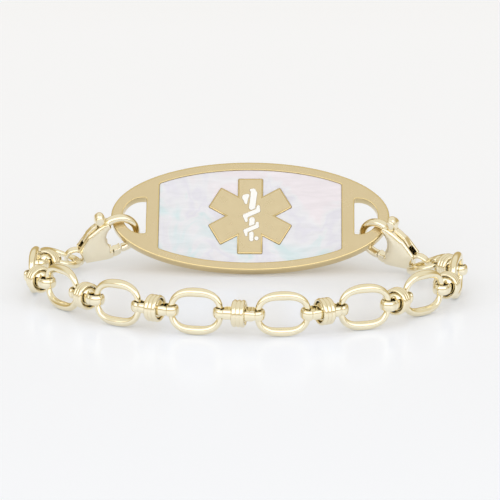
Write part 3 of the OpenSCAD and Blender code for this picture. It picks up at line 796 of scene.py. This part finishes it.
def linkTree(finish):
    tree, sizes = startTree("oval links", links)
    spot = split(tree, position(tree))
    values = [calc(tree, "ABSOLUTE", calc(tree, "DIVIDE", spot[axis], sizes[half]))
              for axis, half in ((0, "Half Length"), (1, "Half Height"))]
    reach = squareReach(tree, values, sizes["Squareness"])
    oval = point(tree, calc(tree, "MULTIPLY", spot[0], reach), 0.0, calc(tree, "MULTIPLY", spot[1], reach))
    line = moveTo(tree, circle(tree, sizes["Steps"]), oval)
    # the wire is thick along the top and bottom, thin at the ends
    way = add(tree, "ShaderNodeVectorMath", {0: position(tree)}, operation="NORMALIZE").outputs[0]
    height = split(tree, way)[2]
    extra = calc(tree, "SUBTRACT", sizes["Top Radius"], sizes["End Radius"])
    radius = calc(tree, "MULTIPLY_ADD", calc(tree, "MULTIPLY", height, height), extra, sizes["End Radius"])
    wire = sweep(tree, line, circle(tree, sizes["Sides"]), Scale=radius)
    endTree(tree, spread(tree, sizes["Places"], wire), finish)
    return tree


# Connectors: an eye round the end of each of two links. Groove At and Groove Width are in mm
connectors = {"Strand Gap": 1.8 * mm, "Strap Thickness": 0.42 * mm, "Strap Height": 1.5 * mm,
              "Bend At": 1.0 * mm, "Groove At": 0.95, "Groove Width": 0.07, "Groove Depth": 0.2,
              "Bend Steps": 58, "Line Steps": 150, "Section Steps": 40}
# In mm: the wire that an eye holds, its play on it, and where its bend and its stretch begin.
# As shares: the section's inner side, of its radius, and the groove along y, of that along z
connectorShape = {"barWire": 0.9, "eyePlay": 0.25, "aheadFrom": 0.001, "stretchFrom": 0.2,
                  "innerSide": -0.25, "grooveAcross": 0.6}


# Each connector has two eyes on one line, each turned with the link that it holds
def placeConnectors(chain):
    half = links["Half Length"]
    bend = connectors["Strand Gap"] / 2 + connectors["Strap Thickness"] / 2
    rings, eyes = [], []
    for before, after in zip(chain, chain[1:]):
        start = before["at"] + half * before["along"]
        end = after["at"] - half * after["along"]
        along = (end - start).normalized()
        inner = (end - start).length + (connectorShape["barWire"] + 2 * connectorShape["eyePlay"]) * mm
        drawn = (inner + connectors["Strap Thickness"]) / 2 - bend - connectors["Bend At"]
        rings.append({"at": (start + end) / 2, "axes": axesOf(along, before["up"])})
        for way, link in ((-along, before), (along, after)):
            eyes.append({"at": (start + end) / 2, "axes": axesOf(way, link["up"]), "stretch": drawn})
    return rings, eyes


def eyeTree(finish):
    tree, sizes = startTree("connector eyes", connectors)
    bend = calc(tree, "MULTIPLY", calc(tree, "ADD", sizes["Strand Gap"], sizes["Strap Thickness"]), 0.5)
    spot = split(tree, position(tree))
    # the half behind is flat, and stays inside the core
    ahead = calc(tree, "GREATER_THAN", spot[0], connectorShape["aheadFrom"] * mm)
    drawn = calc(tree, "MULTIPLY", calc(tree, "ADD", spot[0], sizes["Bend At"]), ahead)
    line = moveTo(tree, circle(tree, sizes["Bend Steps"], bend), point(tree, drawn, spot[1]))
    even = add(tree, "GeometryNodeResampleCurve", {"Curve": line, "Count": sizes["Line Steps"]}).outputs[0]
    # the strap's section is flat inside and domed outside
    way = split(tree, position(tree))
    flat = connectorShape["innerSide"]
    dome = calc(tree, "SUBTRACT", calc(tree, "MAXIMUM", way[0], flat), (1 + flat) / 2)
    thick = calc(tree, "MULTIPLY", calc(tree, "DIVIDE", dome, 1 - flat), sizes["Strap Thickness"])
    high = calc(tree, "MULTIPLY", calc(tree, "MULTIPLY", way[1], 0.5), sizes["Strap Height"])
    section = moveTo(tree, circle(tree, sizes["Section Steps"]), point(tree, thick, high))
    strap = sweep(tree, upright(tree, even), section)
    # a groove where the ball of the eye meets the neck, full along z and shallower along y
    spot = split(tree, position(tree))
    inMm = calc(tree, "DIVIDE", spot[0], mm)
    off = calc(tree, "DIVIDE", calc(tree, "SUBTRACT", inMm, sizes["Groove At"]), sizes["Groove Width"])
    bell = calc(tree, "EXPONENT", calc(tree, "MULTIPLY", -1.0, calc(tree, "MULTIPLY", off, off)))
    pinch = calc(tree, "SUBTRACT", 1.0, calc(tree, "MULTIPLY", sizes["Groove Depth"], bell))
    across = connectorShape["grooveAcross"]
    less = calc(tree, "MULTIPLY_ADD", pinch, across, 1 - across)
    grooved = moveTo(tree, strap, point(tree, spot[0], calc(tree, "MULTIPLY", spot[1], less),
                                        calc(tree, "MULTIPLY", spot[2], pinch)))
    eyes = spread(tree, sizes["Places"], grooved)
    # each eye is drawn out along its own axis to the length of its connector
    along, middle, stretch = [
        add(tree, "GeometryNodeInputNamedAttribute", {"Name": label}, data_type=kind).outputs["Attribute"]
        for label, kind in (("along", "FLOAT_VECTOR"), ("middle", "FLOAT_VECTOR"), ("stretch", "FLOAT"))]
    away = add(tree, "ShaderNodeVectorMath", {0: position(tree), 1: middle}, operation="SUBTRACT")
    ahead = add(tree, "ShaderNodeVectorMath", {0: away.outputs[0], 1: along}, operation="DOT_PRODUCT")
    share = remap(tree, ahead.outputs["Value"], (connectorShape["stretchFrom"] * mm, sizes["Bend At"]))
    move = scaled(tree, along, calc(tree, "MULTIPLY", share, stretch))
    done = add(tree, "GeometryNodeSetPosition", {"Geometry": eyes, "Offset": move})
    endTree(tree, done.outputs[0], finish)
    return tree


# The round core between two eyes, fuller than a ball
cores = {"Core Radius": 1.54 * mm, "Core Half": 1.12 * mm, "Fullness": 2.9, "Segments": 64, "Rings": 40}


def coreTree(finish):
    tree, sizes = startTree("connector cores", cores)
    ball = add(tree, "GeometryNodeMeshUVSphere", {"Segments": sizes["Segments"], "Rings": sizes["Rings"],
               "Radius": 1.0})
    turned = add(tree, "GeometryNodeTransform", {"Geometry": ball.outputs["Mesh"],
                 "Rotation": (0, math.pi / 2, 0)})
    spot = position(tree)
    x, y, z = list(split(tree, spot))
    side = calc(tree, "SQRT", calc(tree, "ADD", *[calc(tree, "MULTIPLY", v, v) for v in (y, z)]))
    reach = squareReach(tree, (calc(tree, "ABSOLUTE", x), side), sizes["Fullness"])
    full = moveTo(tree, turned.outputs[0], scaled(tree, spot, reach))
    size = point(tree, sizes["Core Half"], sizes["Core Radius"], sizes["Core Radius"])
    sized = add(tree, "GeometryNodeTransform", {"Geometry": full, "Scale": size})
    endTree(tree, spread(tree, sizes["Places"], sized.outputs[0]), finish)
    return tree


# Ribbed rings. The profile's points run along the ribs first and then back along the bore,
# by their share of the way round, and the way back is a little shorter than the ribs
ribbedRings = {"Bore Radius": 1.58 * mm, "Wall": 0.45 * mm, "Rib Radius": 0.4 * mm,
               "Rib Pitch": 0.6 * mm, "Round Steps": 96, "Profile Steps": 64}
ribProfile = {"ribs": (0.0, 0.78), "turn": 0.79, "bore": (0.8, 0.99), "boreHalf": 0.8}


def ribTree(finish):
    tree, sizes = startTree("ribbed rings", ribbedRings)
    half = calc(tree, "ADD", sizes["Rib Pitch"], sizes["Rib Radius"])
    share = calc(tree, "DIVIDE", add(tree, "GeometryNodeInputIndex").outputs[0], sizes["Profile Steps"])
    outside = calc(tree, "LESS_THAN", share, ribProfile["turn"])
    across = remap(tree, share, ribProfile["ribs"], (-1.0, 1.0))
    back = remap(tree, share, ribProfile["bore"], (ribProfile["boreHalf"], -ribProfile["boreHalf"]))
    at = calc(tree, "MULTIPLY", mix(tree, outside, back, across), half)
    # three ribs, numbered -1, 0 and 1
    nearest = calc(tree, "ROUND", calc(tree, "DIVIDE", at, sizes["Rib Pitch"]))
    rib = calc(tree, "MAXIMUM", calc(tree, "MINIMUM", nearest, 1.0), -1.0)
    off = calc(tree, "DIVIDE", calc(tree, "SUBTRACT", at, calc(tree, "MULTIPLY", rib, sizes["Rib Pitch"])),
               sizes["Rib Radius"])
    left = calc(tree, "SUBTRACT", 1.0, calc(tree, "MULTIPLY", off, off))
    dome = calc(tree, "SQRT", calc(tree, "MAXIMUM", left, 0.0))
    height = calc(tree, "ADD", calc(tree, "SUBTRACT", sizes["Wall"], sizes["Rib Radius"]),
                  calc(tree, "MULTIPLY", dome, sizes["Rib Radius"]))
    profile = moveTo(tree, circle(tree, sizes["Profile Steps"]),
                     point(tree, calc(tree, "MULTIPLY", height, outside), at))
    path = circle(tree, sizes["Round Steps"], sizes["Bore Radius"])
    ring = sweep(tree, upright(tree, path), profile)
    turned = add(tree, "GeometryNodeTransform", {"Geometry": ring, "Rotation": (0, math.pi / 2, 0)})
    endTree(tree, spread(tree, sizes["Places"], turned.outputs[0]), finish)
    return tree


def makeChain():
    chain = readLinks()
    rings, eyes = placeConnectors(chain)
    gold = finishes["chainGold"]
    data = grow("oval_links", linkTree(gold), links, chain)
    addPiece("oval_links", data, "bracelet", linkNodes)
    mesh = bmesh.new()
    mesh.from_mesh(grow("connector_cores", coreTree(gold), cores, rings))
    mesh.from_mesh(grow("strap_loops", eyeTree(gold), connectors, eyes))
    data = bpy.data.meshes.new("connectors")
    mesh.to_mesh(data)
    mesh.free()
    data.materials.append(gold)
    addPiece("strap_loops", data, "bracelet", connectorNodes)
    data = grow("ribbed_rings", ribTree(finishes["ringGold"]), ribbedRings, rings)
    addPiece("ribbed_rings", data, "bracelet", ribbedNodes)


# The CAD nodes' own material slots take the same finishes
slotFinishes = {"plaque_gold": "plaqueGold", "star_gold": "starGold", "pearl": "motherOfPearl",
                "enamel": "whiteEnamel", "clasp_gold": "claspGold", "chain_gold": "chainGold",
                "ring_gold": "ringGold"}


def dressNodes():
    for node in nodes.values():
        for slot in node.material_slots:
            slot.material = finishes[slotFinishes[slot.material.name.split(".")[0]]]


setCamera()
setWorld()
setFloor()
print("camera, light and floor set")
makePlaque()
makeInlay()
makeStar()
makeEnamel()
print("plaque, inlay and emblem made")
makeChain()
print("chain made")
makeClasps()
print("clasps made")
dressNodes()

bpy.context.scene.view_settings.view_transform = "Standard"
print("done")
